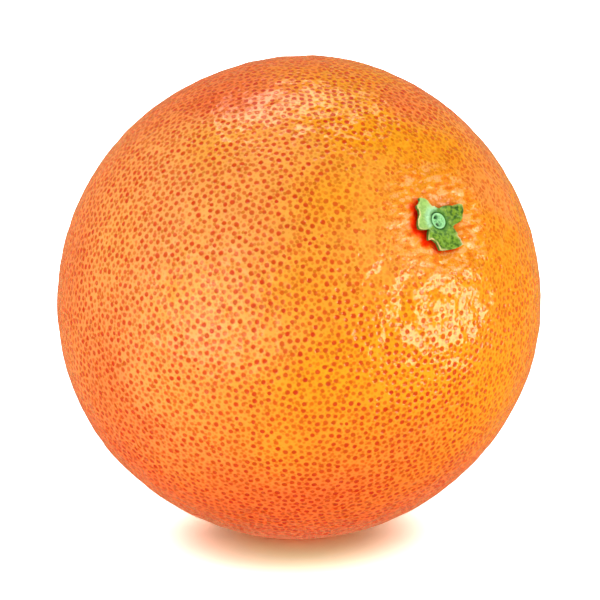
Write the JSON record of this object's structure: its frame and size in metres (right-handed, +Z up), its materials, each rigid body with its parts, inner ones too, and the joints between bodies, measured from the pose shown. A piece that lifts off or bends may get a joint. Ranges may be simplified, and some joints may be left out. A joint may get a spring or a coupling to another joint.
{
  "type": "sweet orange",
  "caption": "Whole sweet orange lying on a small flat spot, with a pitted rind, a green calyx and a cut stub of stem.",
  "frame": {"origin": "middle of the small flat spot that the fruit rests on", "axes": "+Z up; the stem end points towards -Y and 28 degrees above level"},
  "size_m": [0.0834, 0.0846, 0.0838],
  "materials": {
    "rind": "satin",
    "calyx": "matte",
    "stem_stub": "matte"
  },
  "bodies": {
    "root": {"fruit": "rind", "calyx": "calyx", "stem_stub": "stem_stub"}
  },
  "joints": []
}
